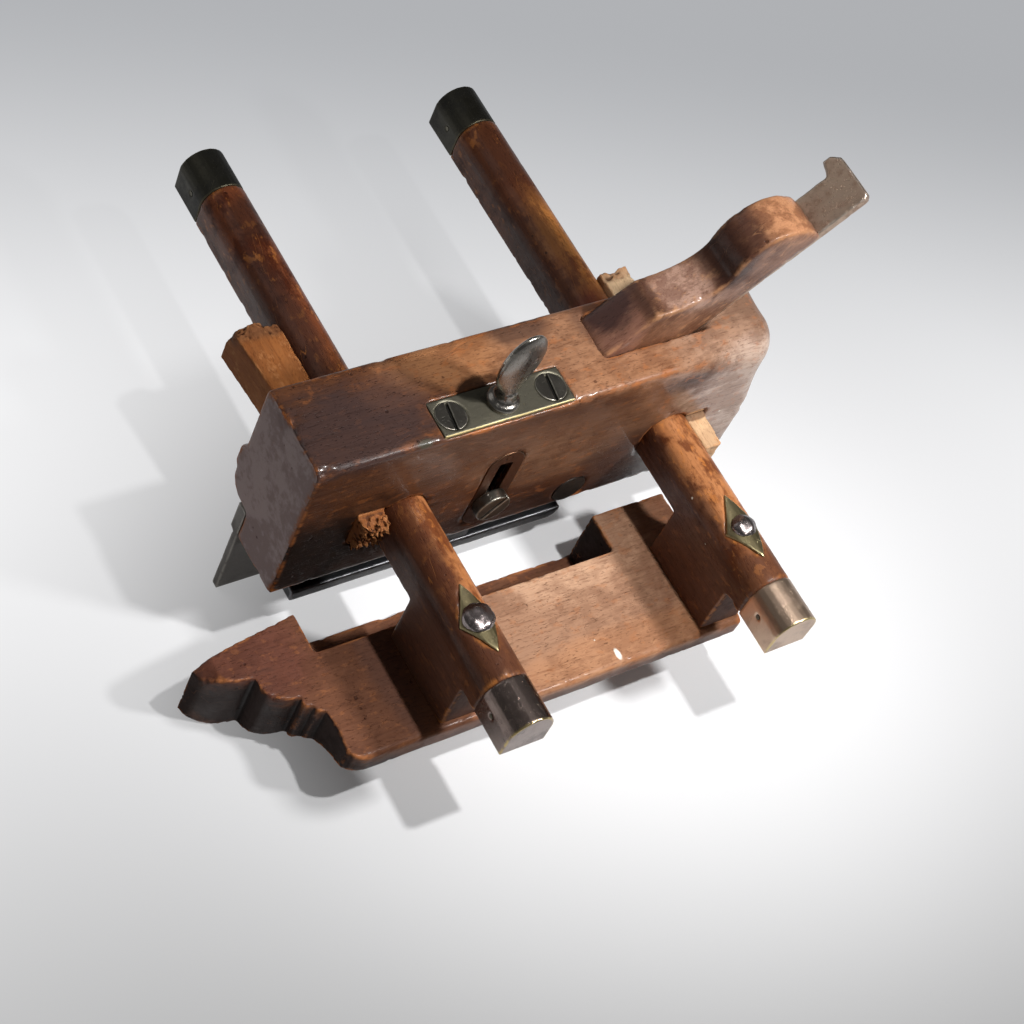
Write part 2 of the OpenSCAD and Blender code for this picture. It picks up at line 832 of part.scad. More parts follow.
// Domed rivets whose heads are shaped to the bend of the roves
module fence_rivets() {
    proud = rove_thickness * 0.25;
    head_seat = stem_top + proud;
    skirt = 2.4;
    dome_radius = (pow(fence_rivet_head, 2) + pow(fence_rivet_dome, 2)) / (2 * fence_rivet_dome);
    color(steel_old) in_stock() union() {
        at_fence_rivets(burr_seat - burr_thickness)
            cylinder(h = head_seat - burr_seat + burr_thickness + over, r = fence_rivet_radius);
        difference() {
            at_fence_rivets(head_seat) union() {
                intersection() {
                    translate([0, 0, fence_rivet_dome - dome_radius]) sphere(dome_radius);
                    cylinder(h = fence_rivet_dome, r = fence_rivet_head);
                }
                translate([0, 0, -skirt]) cylinder(h = skirt, r = fence_rivet_head);
            }
            for (x = [toe_stem_from_toe, heel_stem_from_toe])
                across(rivet_across - rove_length, rivet_across + rove_length)
                    translate([x, stem_lift]) stem_section(proud + seat_fit);
        }
    }
}

module rivet_burrs() {
    color(steel_old) in_stock() at_fence_rivets(burr_seat - burr_thickness) difference() {
        cylinder(h = burr_thickness, r = burr_radius);
        translate([0, 0, -over])
            cylinder(h = burr_thickness + over * 2, r = fence_rivet_radius + seat_fit);
    }
}

// Stem wedges

module stem_wedge(thickness, taper, stub, stub_height, reach) {
    color(wood_fresh) translate([0, 0, stem_lift]) union() {
        linear_extrude(stub_height)
            stem_wedge_plan(thickness, taper, -stub, over, slide_fit, 0);
        linear_extrude(stem_wedge_height)
            stem_wedge_plan(thickness, taper, 0, reach, slide_fit, 0);
    }
}

module toe_stem_wedge() {
    in_stock() translate([toe_stem_from_toe - stem_width / 2, 0, 0]) mirror([1, 0, 0])
        stem_wedge(toe_wedge_thickness, toe_wedge_taper,
            toe_wedge_stub, toe_stub_height, toe_wedge_reach);
}

module heel_stem_wedge() {
    in_stock() translate([heel_stem_from_toe + stem_width / 2, 0, 0])
        stem_wedge(heel_wedge_thickness, heel_wedge_taper,
            heel_wedge_stub, heel_stub_height, heel_wedge_reach);
}

// Iron and its wedge

// A point along the face of the iron, measured up its slope from the stock's top
function on_iron(u, off = 0) = [
    iron_from_toe + u * cos(bed_angle) - off * sin(bed_angle),
    stock_height + u * sin(bed_angle) + off * cos(bed_angle)
];

module iron_wedge_side() {
    tip_bevel = 27;
    front = [iron_from_toe - wedge_length, stock_height];
    crest = front + [wedge_front_height, wedge_front_height];
    head = on_iron(wedge_above - wedge_head_radius, wedge_head_lift);
    neck_angle = 175;
    neck = head + wedge_head_radius * [cos(neck_angle), sin(neck_angle)];
    polygon(concat(
        [[iron_face(wedge_tip_height), wedge_tip_height],
         [throat_front(wedge_tip_height + tip_bevel), wedge_tip_height + tip_bevel],
         front, crest],
        sweep_points(crest, neck),
        arc(head, wedge_head_radius, wedge_head_radius, neck_angle, bed_angle, 14),
        [on_iron(wedge_above)]
    ));
}

// The hollow sweep from the crest of the wedge up to its head
function sweep_points(from, to, steps = 9) = [
    for (i = [1 : steps - 1])
        let (s = i / steps)
        [from[0] + (to[0] - from[0]) * sin(90 * s),
         from[1] + (to[1] - from[1]) * (1 - cos(90 * s))]
];

module iron_wedge() {
    color(wood_wedge) in_stock()
        across(throat_from_near + slide_fit, throat_far - slide_fit)
        translate([-slide_fit, 0]) iron_wedge_side();
}

module iron_outline() {
    shoulder_lift = 12;
    shoulder_slope = 10;
    shoulder_top = shoulder_lift - (stock_height - wedge_tip_height) / sin(bed_angle);
    edge = -(stock_height - sole - edge_lift) / sin(bed_angle);
    iron_far = iron_near + iron_width;
    corner_cut = 1.4;
    hook_far = iron_far + hook_reach;
    polygon([
        [iron_near, shoulder_top],
        [cut_near, shoulder_top - shoulder_slope],
        [cut_near, edge],
        [cut_near + cut_width, edge],
        [iron_far, iron_above - hook_width],
        [hook_far, iron_above - hook_width * 0.8],
        [hook_far, iron_above - hook_width * 0.375],
        [iron_far + hook_reach / 2, iron_above],
        [iron_near + corner_cut, iron_above],
        [iron_near, iron_above - corner_cut]
    ]);
}

module plough_iron() {
    bevel_angle = 16;
    bevel_cut = 20;
    color(steel_old) in_stock() difference() {
        translate([iron_from_toe, 0, stock_height])
            rotate([0, 180 - bed_angle, 0]) rotate([0, 0, 90])
            linear_extrude(iron_thickness) iron_outline();
        translate([iron_face(sole + edge_lift), 0, sole + edge_lift]) rotate([0, -bevel_angle, 0])
            translate([-bevel_cut, 0, -bevel_cut]) cube([bevel_cut * 3, stock_width, bevel_cut]);
    }
}

// Depth stop

module shoe_side() {
    heel_curve = shoe_height * 0.8;
    toe_curve = 1;
    back = shoe_from_toe + shoe_length;
    polygon(concat(
        [[shoe_from_toe, shoe_top]],
        arc([shoe_from_toe + toe_curve, shoe_top - shoe_height + toe_curve],
            toe_curve, toe_curve, 180, 270, 3),
        arc([back - heel_curve, shoe_top - shoe_height + heel_curve],
            heel_curve, heel_curve, 270, 360, 8),
        [[back, shoe_top]]
    ));
}

module stop_shoe() {
    color(iron_black) in_stock()
        across(shoe_from_near, shoe_from_near + shoe_width) shoe_side();
}

module stop_bar() {
    color(iron_black) in_stock() difference() {
        translate([bar_middle - bar_width / 2, bar_near, shoe_top])
            cube([bar_width, bar_thickness, bar_length]);
        translate([thumb_from_toe, thumb_from_near, shoe_top + bar_length - rod_bore_depth])
            cylinder(h = rod_bore_depth + over, r = rod_radius + turn_fit);
        round_across(lock_from_toe, lock_height, bar_near - over,
            bar_near + lock_bore, lock_shank_radius + turn_fit);
    }
}

module thumbscrew() {
    neck_radius = 3.6;
    neck_height = 4.5;
    neck_flare = 1.6;
    flare_height = 2.4;
    leaf_low = collar_height + neck_height;
    leaf_root = leaf_low - 2;
    leaf_middle = leaf_low + leaf_height * 0.47;
    color(bronze) in_stock() translate([thumb_from_toe, thumb_from_near, stock_height]) union() {
        translate([0, 0, -rod_length]) cylinder(h = rod_length + over, r = rod_radius);
        rotate_extrude() polygon(concat(
            [[0, 0], [collar_radius, 0], [collar_radius, collar_height * 0.6]],
            arc([neck_radius + neck_flare, collar_height + flare_height],
                neck_flare, flare_height, 270, 180, 6),
            [[neck_radius, leaf_low], [0, leaf_low]]
        ));
        rotate([0, 0, leaf_turn]) hull() {
            translate([0, 0, leaf_root])
                cylinder(h = 1, r = min(neck_radius, leaf_thickness / 2), $fn = 32);
            translate([0, 0, leaf_middle])
                scale([leaf_width / leaf_thickness, 1, leaf_height * 0.9 / leaf_thickness])
                sphere(leaf_thickness / 2, $fn = 32);
        }
    }
}

module stop_lock_screw() {
    slot_depth = 1.4;
    slot_across = 1.6;
    washer_gap = 0.1;
    slot_turn = -53;
    color(steel_old) in_stock() difference() {
        union() {
            round_across(lock_from_toe, lock_height, -lock_head_height, -washer_gap,
                lock_head_radius);
            round_across(lock_from_toe, lock_height, -over, bar_near + lock_tip, lock_shank_radius);
        }
        translate([lock_from_toe, -lock_head_height, lock_height]) rotate([0, slot_turn, 0])
            cube([lock_head_radius * 2 + over, slot_depth * 2, slot_across], center = true);
    }
}

stock();
front_skate();
rear_skate();
skate_rivets();
skate_disc();
top_plate();
top_plate_screws();
side_plate();
side_plate_pins();
fence();
toe_stem();
heel_stem();
toe_near_ferrule();
toe_far_ferrule();
heel_near_ferrule();
heel_far_ferrule();
ferrule_pins();
toe_rove();
heel_rove();
fence_rivets();
rivet_burrs();
toe_stem_wedge();
heel_stem_wedge();
iron_wedge();
plough_iron();
stop_shoe();
stop_bar();
thumbscrew();
stop_lock_screw();
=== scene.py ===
"""Looks of an old wooden plough plane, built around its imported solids.

Lengths are in millimetres until a piece is made, in the frame of the solids:
+X runs from toe to heel, +Y away from the fence, and the plane stands on z = 0.
Inside a finish, noise scales are per metre and bump heights in metres.
"""

import json
import math

import bpy
import numpy as np
from mathutils import Matrix, Vector

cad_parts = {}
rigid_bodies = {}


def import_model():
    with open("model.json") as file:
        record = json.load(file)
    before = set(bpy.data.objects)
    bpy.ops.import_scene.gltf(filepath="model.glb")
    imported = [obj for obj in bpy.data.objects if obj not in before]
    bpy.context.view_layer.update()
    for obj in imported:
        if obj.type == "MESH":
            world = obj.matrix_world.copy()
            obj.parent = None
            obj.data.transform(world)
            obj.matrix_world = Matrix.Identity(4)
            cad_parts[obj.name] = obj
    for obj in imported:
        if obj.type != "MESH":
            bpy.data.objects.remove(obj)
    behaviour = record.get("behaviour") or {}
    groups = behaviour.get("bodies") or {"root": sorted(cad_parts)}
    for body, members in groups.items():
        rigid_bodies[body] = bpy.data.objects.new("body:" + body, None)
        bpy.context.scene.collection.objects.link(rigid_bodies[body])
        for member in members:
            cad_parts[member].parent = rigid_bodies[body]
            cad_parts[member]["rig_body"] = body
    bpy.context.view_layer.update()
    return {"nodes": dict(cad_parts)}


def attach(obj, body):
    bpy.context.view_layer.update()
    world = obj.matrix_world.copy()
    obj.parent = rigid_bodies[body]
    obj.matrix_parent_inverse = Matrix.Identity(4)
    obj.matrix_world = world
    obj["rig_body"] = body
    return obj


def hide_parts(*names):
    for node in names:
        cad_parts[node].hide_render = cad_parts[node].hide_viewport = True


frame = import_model()

MM = 0.001
IRON_LEAN = math.radians(48)


# Places on the plane, in millimetres

def box_of(node):
    """The lowest and the highest corner of a node's solid."""
    points = np.array([vertex.co for vertex in frame["nodes"][node].data.vertices]) / MM
    return points.min(0).round(3), points.max(0).round(3)


def middle_of(node):
    low, high = box_of(node)
    return (low + high) / 2


(TOE, FENCE_SIDE, UNDERSIDE), (HEEL, _, STOCK_TOP) = box_of("stock")
FENCE_NEAR = box_of("fence")[0][1]
FENCE_TOP = box_of("fence")[1][2]
TOE_STEM = middle_of("toe_stem")[0]
HEEL_STEM = middle_of("heel_stem")[0]
TOE_WEDGE_END = box_of("toe_stem_wedge")[1][1]
HEEL_WEDGE_END = box_of("heel_stem_wedge")[1][1]


# Shader values

class Value:
    """A socket in a finish. Sums and products of values add Math nodes."""

    def __init__(self, finish, socket):
        self.finish = finish
        self.socket = socket

    def math(self, operation, *terms):
        return self.finish.node("ShaderNodeMath", {"operation": operation}, dict(enumerate(terms)))

    def __add__(self, other):
        return self.math("ADD", self, other)

    def __sub__(self, other):
        return self.math("SUBTRACT", self, other)

    def __rsub__(self, other):
        return self.math("SUBTRACT", other, self)

    def __mul__(self, other):
        return self.math("MULTIPLY", self, other)

    __radd__ = __add__
    __rmul__ = __mul__

    def size(self):
        return self.math("ABSOLUTE", self)

    def rise(self, low, high):
        """0 below low, 1 above high, smooth between; low above high turns it round."""
        flip = low > high
        low, high = min(low, high), max(low, high)
        ends = {"From Min": low, "From Max": high, "To Min": float(flip), "To Max": float(not flip)}
        settings = {"interpolation_type": "SMOOTHSTEP"}
        return self.finish.node("ShaderNodeMapRange", settings, {"Value": self, **ends})


class Finish:
    """A material around one Principled shader."""

    def __init__(self, name, **constants):
        self.material = bpy.data.materials.new(name)
        self.material.use_nodes = True
        self.tree = self.material.node_tree
        self.shader = self.tree.nodes["Principled BSDF"]
        for socket, value in constants.items():
            self.shader.inputs[socket.replace("_", " ")].default_value = value
        self.place = self.node("ShaderNodeTexCoord", output="Object")

    def node(self, kind, settings=None, inputs=None, output=0):
        made = self.tree.nodes.new(kind)
        for name, value in (settings or {}).items():
            setattr(made, name, value)
        for socket, value in (inputs or {}).items():
            self.feed(made.inputs[socket], value)
        return Value(self, made.outputs[output])

    def feed(self, socket, value):
        if isinstance(value, Value):
            self.tree.links.new(value.socket, socket)
        elif socket.type == "RGBA" and len(value) == 3:
            socket.default_value = (*value, 1.0)
        else:
            socket.default_value = value

    def set(self, **values):
        for socket, value in values.items():
            self.feed(self.shader.inputs[socket.replace("_", " ")], value)
        return self.material

    def stretched(self, *per_metre):
        """The place, scaled along X, Y and Z."""
        settings = {"operation": "MULTIPLY"}
        return self.node("ShaderNodeVectorMath", settings, {0: self.place, 1: per_metre})

    def along(self, run, lengthwise, crosswise):
        """The place measured along a direction and across it, each with its own scale."""
        run = Vector(run).normalized()
        side = run.cross(Vector((0, 0, 1)) if abs(run.z) < 0.9 else Vector((1, 0, 0))).normalized()
        parts = {}
        for axis, direction, scale in zip("XYZ", (run, side, run.cross(side)),
                                          (lengthwise, crosswise, crosswise)):
            inputs = {0: self.place, 1: tuple(direction * scale)}
            settings = {"operation": "DOT_PRODUCT"}
            parts[axis] = self.node("ShaderNodeVectorMath", settings, inputs, "Value")
        return self.node("ShaderNodeCombineXYZ", None, parts)

    def noise(self, where, detail, roughness=0.55, distortion=0.0):
        inputs = {"Vector": where, "Scale": 1.0, "Detail": detail, "Roughness": roughness,
                  "Distortion": distortion}
        return self.node("ShaderNodeTexNoise", None, inputs)

    def cells(self, where, scale, output="Distance"):
        return self.node("ShaderNodeTexVoronoi", None, {"Vector": where, "Scale": scale}, output)

    def mix(self, under, over, share):
        settings = {"data_type": "RGBA"}
        return self.node("ShaderNodeMix", settings, {0: share, 6: under, 7: over}, 2)

    def shade(self, colour, factor, share):
        """The colour multiplied by another, by the share given."""
        settings = {"data_type": "RGBA", "blend_type": "MULTIPLY"}
        return self.node("ShaderNodeMix", settings, {0: share, 6: colour, 7: factor}, 2)

    def mark(self, name):
        """A number kept on the piece's points, such as the wear of its edges."""
        return self.node("ShaderNodeAttribute", {"attribute_name": name}, output="Fac")

    def facing(self, way):
        """1 where the surface points the given way, 0 where it points well aside."""
        normal = self.node("ShaderNodeTexCoord", output="Normal")
        settings = {"operation": "DOT_PRODUCT"}
        return self.node("ShaderNodeVectorMath", settings, {0: normal, 1: way}, "Value").rise(0.72, 0.90)

    def blot(self, middle, reach, ragged):
        """1 near a place given in millimetres, 0 beyond its reach, with a soft and ragged border."""
        soft = 0.35
        settings = {"operation": "MULTIPLY_ADD"}
        scale = [1 / (r * MM) for r in reach]
        shift = [-m / r for m, r in zip(middle, reach)]
        inside = self.node("ShaderNodeVectorMath", settings, {0: self.place, 1: scale, 2: shift})
        distance = self.node("ShaderNodeVectorMath", {"operation": "LENGTH"}, {0: inside}, "Value")
        return (distance + (ragged - 0.5) * 0.9).rise(1 + soft, 1 - soft)

    def scratches(self, run, lengthwise, crosswise, width):
        """Thin lines where a stretched noise crosses its middle."""
        drift = self.noise(self.along(run, lengthwise, crosswise), 1.0)
        return (drift - 0.5).size().rise(width, width * 0.3)

    def bump(self, height, distance, strength):
        inputs = {"Height": height, "Distance": distance, "Strength": strength}
        return self.node("ShaderNodeBump", None, inputs, "Normal")


# Finishes: wood

def specks(finish, per_metre, largest, share):
    """Small round drops, a share of the cells having one."""
    distance = finish.cells(finish.place, per_metre)
    colour = finish.cells(finish.place, per_metre, "Color")
    chosen = finish.node("ShaderNodeSeparateColor", None, {0: colour}, "Red")
    size = (chosen - (1 - share)) * (largest / share)
    return (size - distance).rise(0.0, largest * 0.35)


def wood(name, run, dark, middle, light, worn, blots=(), late_blots=(), top_blots=(), ends=(),
         smoke=0.5, glow=0.4, gloss=0.40, wax=0.35, edges=0.75, pores=0.45):
    """Close-grained old wood: streaks and pores along its run, smoky and warm patches, worn edges.

    blots are (middle, reach, colour, share) in millimetres; late ones lie over the patches and
    top ones over the worn edges. ends are (way, colour) of dull faces that point one way.
    """
    finish = Finish(name, IOR=1.45, Specular_IOR_Level=0.16, Coat_Roughness=0.16, Coat_IOR=1.40)
    broad = finish.noise(finish.stretched(24, 24, 24), 3.0, 0.6)
    cloud = finish.noise(finish.stretched(85, 85, 85), 5.0, 0.65)
    mottle = finish.noise(finish.along(run, 130, 330), 4.0, 0.62)
    streak = finish.noise(finish.along(run, 11, 150), 4.0, 0.62, distortion=0.5)
    fine = finish.noise(finish.along(run, 45, 1000), 2.0)
    fleck = finish.noise(finish.along(run, 260, 1500), 1.0).rise(0.61, 0.70)
    pore = finish.noise(finish.along(run, 500, 3400), 1.0).rise(0.64, 0.72)

    colour = finish.mix(dark, middle, (streak * 0.8 + broad * 0.5 - 0.15).rise(0.22, 0.70))
    lighter = (broad * 0.5 + cloud * 0.3 + mottle * 0.5).rise(0.58, 0.92)
    colour = finish.mix(colour, light, lighter * glow * 1.6)
    for place, reach, tone, share in blots:
        colour = finish.mix(colour, tone, finish.blot(place, reach, cloud) * share)
    smoked = (broad * 0.35 + cloud * 0.55 + mottle * 0.35).rise(0.57, 0.68)
    colour = finish.shade(colour, (0.30, 0.20, 0.17), smoked * smoke)
    warm = finish.noise(finish.along(run, 190, 300), 4.0, 0.6).rise(0.56, 0.66)
    colour = finish.mix(colour, worn, warm * glow * 0.8)
    for place, reach, tone, share in late_blots:
        colour = finish.mix(colour, tone, finish.blot(place, reach, mottle) * share)
    colour = finish.shade(colour, (0.55, 0.46, 0.42), fleck * (pores * 0.7))
    colour = finish.shade(colour, (0.36, 0.28, 0.25), pore * pores)
    colour = finish.shade(colour, (0.76, 0.71, 0.68), fine.rise(0.45, 0.75) * 0.7)

    dull = 0.0
    for way, tone in ends:
        faced = finish.facing(way)
        colour = finish.mix(colour, finish.shade(tone, (0.55, 0.50, 0.50), smoked * 0.6), faced * 0.95)
        dull = faced + dull

    broken = mottle.rise(0.40, 0.58) * 0.6 + cloud.rise(0.42, 0.60) * 0.5
    rubbed = (finish.mark("edge") * broken).rise(0.12, 0.70)
    colour = finish.mix(colour, worn, rubbed * edges)
    grime = finish.mark("hollow").rise(0.05, 0.5) * 0.8
    colour = finish.shade(colour, (0.20, 0.15, 0.14), grime)
    dent = specks(finish, 230, 0.22, 0.36) * mottle.rise(0.40, 0.50)
    colour = finish.shade(colour, (0.30, 0.22, 0.20), dent * 0.75)
    skew = Vector(run) + Vector((0.20, 0.16, 0.08))
    scratch = finish.scratches(skew, 4, 150, 0.004) * cloud.rise(0.50, 0.62)
    colour = finish.mix(colour, worn, scratch * 0.30)
    for place, reach, tone, share in top_blots:
        colour = finish.mix(colour, tone, finish.blot(place, reach, mottle) * share)
    drops = specks(finish, 120, 0.10, 0.16)
    colour = finish.mix(colour, (0.76, 0.70, 0.60), drops * 0.9)

    rough = gloss + (cloud - 0.5) * 0.30 + (mottle - 0.5) * 0.15 + fine * 0.06 + dull * 0.25
    coat = wax * (cloud.rise(0.66, 0.42) * 0.7 + 0.3) * (1.0 - dull)
    height = streak * 0.30 + fine * 0.22 - pore * 0.7 - fleck * 0.2
    height = height + cloud * 0.2 + mottle * 0.15 - dent * 1.3 - scratch * 0.3 + drops * 1.2
    normal = finish.bump(height, 0.00020, 0.8)
    return finish.set(Base_Color=colour, Roughness=rough, Coat_Weight=coat, Normal=normal)


def stock_wood():
    top = STOCK_TOP
    near = FENCE_SIDE
    blots = [
        # the far half of the top is tan from the plate on, and paler towards the heel
        ((TOE + 66, near + 29, top), (26, 11, 8), (0.400, 0.180, 0.078), 0.80),
        ((TOE + 106, near + 20, top), (24, 20, 8), (0.350, 0.176, 0.096), 0.80),
        ((TOE + 142, near + 6, top), (36, 10, 9), (0.350, 0.170, 0.088), 0.75),
        ((HEEL - 20, near + 12, top), (30, 20, 10), (0.325, 0.196, 0.130), 0.80),
        # the fence side is warm in the middle, and paler and greyer towards the heel with a painted sheen
        ((TOE + 118, near, UNDERSIDE + 44), (42, 6, 20), (0.235, 0.122, 0.070), 0.6),
        ((HEEL - 6, near, UNDERSIDE + 46), (30, 8, 36), (0.520, 0.385, 0.305), 0.80),
    ]
    ends = [((-1, 0, 0), (0.400, 0.305, 0.288)), ((1, 0, 0), (0.190, 0.104, 0.068))]
    late = [
        # smoke at the toe; painted shadow below the toe stem; darker along the underside and below the heel
        # stem
        ((TOE + 20, near + 13, top), (30, 17, 8), (0.048, 0.029, 0.027), 0.85),
        ((TOE + 40, near + 24, top), (12, 9, 6), (0.105, 0.050, 0.034), 0.5),
        ((TOE + 96, near + 34, top), (13, 6, 8), (0.062, 0.032, 0.024), 0.75),
        ((TOE + 124, near + 30, top), (7, 12, 6), (0.090, 0.044, 0.030), 0.6),
        ((TOE + 162, near + 34, top), (24, 5, 8), (0.120, 0.062, 0.042), 0.5),
        # painted shadow, nearly black, on the fence side below the toe stem and on its toe side
        ((TOE + 12, near, UNDERSIDE + 12), (44, 8, 30), (0.010, 0.007, 0.006), 0.96),
        ((TOE + 80, near, UNDERSIDE + 2), (70, 8, 12), (0.022, 0.012, 0.010), 0.8),
        ((TOE + 146, near, UNDERSIDE + 12), (26, 8, 24), (0.050, 0.022, 0.015), 0.75),
        ((TOE + 70, near, UNDERSIDE + 60), (60, 8, 10), (0.110, 0.052, 0.032), 0.5),
    ]
    over = [
        # a dark chip by the plate, a drop of paint, and painted shade, nearly black, inside the slot of the
        # stop
        ((TOE + 41, near + 1, top), (3.0, 1.6, 2.0), (0.060, 0.055, 0.038), 0.9),
        ((TOE + 163.8, near, top - 3.4), (0.5, 1.2, 1.3), (0.80, 0.75, 0.66), 0.95),
        ((TOE + 84.2, near + 6, UNDERSIDE + 32), (5.5, 5.4, 19), (0.005, 0.004, 0.004), 1.0),
    ]
    return wood("stock wood", (1, 0, 0), (0.040, 0.017, 0.011), (0.130, 0.049, 0.022),
                (0.250, 0.100, 0.040), (0.400, 0.130, 0.036), blots, late, over, ends,
                smoke=0.40, glow=0.42, gloss=0.36, wax=0.42, pores=0.75)


def stem_wood():
    near = FENCE_SIDE
    late = []
    for x in (TOE_STEM, HEEL_STEM):
        late += [
            # painted shade: the far part of each stem darker
            ((x - 6, near + 78, UNDERSIDE + 34), (8, 34, 16), (0.052, 0.022, 0.015), 0.75),
            ((x + 4, near + 126, UNDERSIDE + 40), (12, 10, 10), (0.036, 0.015, 0.010), 0.7),
            ((x - 8, near - 30, UNDERSIDE + 12), (6, 44, 22), (0.175, 0.086, 0.058), 0.7),
            ((x, near - 66, UNDERSIDE + 36), (14, 9, 12), (0.110, 0.046, 0.024), 0.6),
        ]
    # painted light: an orange lit band along the heel side of the toe stem's top
    blots = [((TOE + 49, near - 22, UNDERSIDE + 39), (7, 36, 8), (0.500, 0.200, 0.072), 0.72),
             ((TOE + 161, near - 22, UNDERSIDE + 39), (11, 36, 8), (0.540, 0.225, 0.085), 0.65),
             ((TOE + 45, near + 112, UNDERSIDE + 39), (14, 44, 14), (0.170, 0.046, 0.019), 0.65),
             ((TOE + 160, near + 82, UNDERSIDE + 40), (9, 28, 11), (0.580, 0.230, 0.058), 0.85)]
    # painted shade along the toe side of the toe stem's top
    late += [((TOE + 38, near - 30, UNDERSIDE + 36), (8, 44, 8), (0.070, 0.024, 0.012), 0.8),
             ((TOE + 46, near - 62, UNDERSIDE + 40), (12, 10, 8), (0.090, 0.032, 0.016), 0.7),
             ((TOE + 158, near + 122, UNDERSIDE + 40), (14, 22, 14), (0.080, 0.026, 0.012), 0.7),
             ((TOE + 160, near + 52, UNDERSIDE + 40), (12, 10, 10), (0.095, 0.024, 0.014), 0.7)]
    return wood("stem wood", (0, 1, 0), (0.045, 0.015, 0.008), (0.190, 0.058, 0.018),
                (0.360, 0.130, 0.040), (0.540, 0.195, 0.046), blots, late,
                # painted shade: faces pointing to the near side are dark and dull
                ends=[((0, -1, 0), (0.085, 0.033, 0.018))],
                smoke=0.90, glow=0.62, gloss=0.40, wax=0.22, pores=0.55)


def fence_wood():
    near = FENCE_NEAR
    level = FENCE_TOP
    blots = [
        ((TOE + 106, near + 42, level), (52, 50, 7), (0.370, 0.205, 0.124), 0.90),
        ((TOE + 112, near + 52, level), (30, 20, 7), (0.600, 0.370, 0.235), 0.70),
        ((TOE + 118, near + 6, level), (50, 9, 9), (0.450, 0.215, 0.105), 0.6),
        ((TOE + 6, near + 30, level), (34, 36, 7), (0.165, 0.064, 0.032), 0.85),
        ((TOE - 18, near + 46, level), (24, 18, 7), (0.140, 0.047, 0.030), 0.8),
    ]
    late = [
        ((TOE - 18, near + 36, level - 17), (30, 40, 14), (0.030, 0.020, 0.018), 0.95),
        ((TOE + 2, near + 6, level - 13), (24, 24, 10), (0.034, 0.019, 0.015), 0.92),
        ((TOE + 104, near + 1, level - 9), (76, 5, 6), (0.060, 0.028, 0.020), 0.75),
        # painted shadow of the toe stem on the fence top, on its toe side
        ((TOE + 28, near + 34, level), (7, 34, 5), (0.095, 0.046, 0.034), 0.5),
    ]
    over = [((TOE + 112.9, near + 4.6, level), (1.0, 2.3, 2), (0.86, 0.82, 0.72), 0.97)]
    return wood("fence wood", (1, 0, 0), (0.120, 0.046, 0.026), (0.240, 0.100, 0.052),
                (0.400, 0.195, 0.105), (0.430, 0.155, 0.052), blots, late, over,
                ends=[((-1, 0, 0), (0.030, 0.017, 0.014))],
                smoke=0.32, glow=0.34, gloss=0.50, wax=0.14, pores=0.6)


def iron_wedge_wood():
    run = (math.cos(IRON_LEAN), 0, math.sin(IRON_LEAN))
    front = TOE + 124
    middle = FENCE_SIDE + 22
    blots = [
        ((front + 36, middle - 14, STOCK_TOP + 18), (30, 5, 18), (0.400, 0.235, 0.158), 0.7),
        ((front + 62, middle, STOCK_TOP + 52), (14, 24, 10), (0.540, 0.260, 0.130), 0.8),
        ((front + 26, middle, STOCK_TOP + 21), (11, 13, 8), (0.420, 0.265, 0.200), 0.80),
    ]
    late = [
        ((front + 4, middle, STOCK_TOP + 8), (8, 24, 15), (0.240, 0.114, 0.078), 0.80),
        ((front + 4, middle + 7, STOCK_TOP + 9), (9, 10, 14), (0.042, 0.020, 0.018), 0.92),
        ((front + 13, middle + 2, STOCK_TOP + 17), (5, 16, 4), (0.060, 0.026, 0.017), 0.8),
        # painted shadow in the neck and on the front of the head above it
        ((front + 40, middle, STOCK_TOP + 32), (9, 24, 9), (0.034, 0.014, 0.010), 0.9),
        ((front + 44, middle, STOCK_TOP + 42), (6, 24, 9), (0.070, 0.028, 0.018), 0.8),
        ((front + 64, middle + 16, STOCK_TOP + 54), (14, 8, 10), (0.170, 0.068, 0.042), 0.6),
    ]
    return wood("iron wedge wood", run, (0.105, 0.044, 0.026), (0.260, 0.118, 0.062),
                (0.390, 0.205, 0.120), (0.500, 0.250, 0.120), blots, late, smoke=0.62, glow=0.55,
                gloss=0.34, wax=0.45, edges=0.55, pores=0.7)


def fresh_wood():
    """New wood of the stem wedges, torn at the ends."""
    blots = [((TOE + 172, FENCE_SIDE - 6, UNDERSIDE + 28), (16, 16, 16), (0.680, 0.460, 0.270), 0.85),
             # painted light: the far end of the heel wedge lightened to a pale tan
             ((TOE + 172, FENCE_SIDE + 62, UNDERSIDE + 30), (16, 16, 16), (0.900, 0.640, 0.390), 0.9)]
    late = [
        ((TOE + 31, FENCE_SIDE - 6, UNDERSIDE + 26), (14, 9, 16), (0.250, 0.088, 0.028), 0.85),
        ((TOE + 31, FENCE_SIDE + 82, UNDERSIDE + 36), (16, 5, 6), (0.150, 0.064, 0.030), 0.7),
        ((TOE + 172, FENCE_SIDE + 67, UNDERSIDE + 36), (16, 4, 6), (0.240, 0.105, 0.048), 0.6),
    ]
    return wood("fresh wood", (0, 1, 0), (0.230, 0.074, 0.021), (0.360, 0.128, 0.036),
                (0.520, 0.230, 0.085), (0.560, 0.250, 0.095), blots, late, smoke=0.25, glow=0.40,
                gloss=0.62, wax=0.0, edges=0.4)


# Finishes: metal

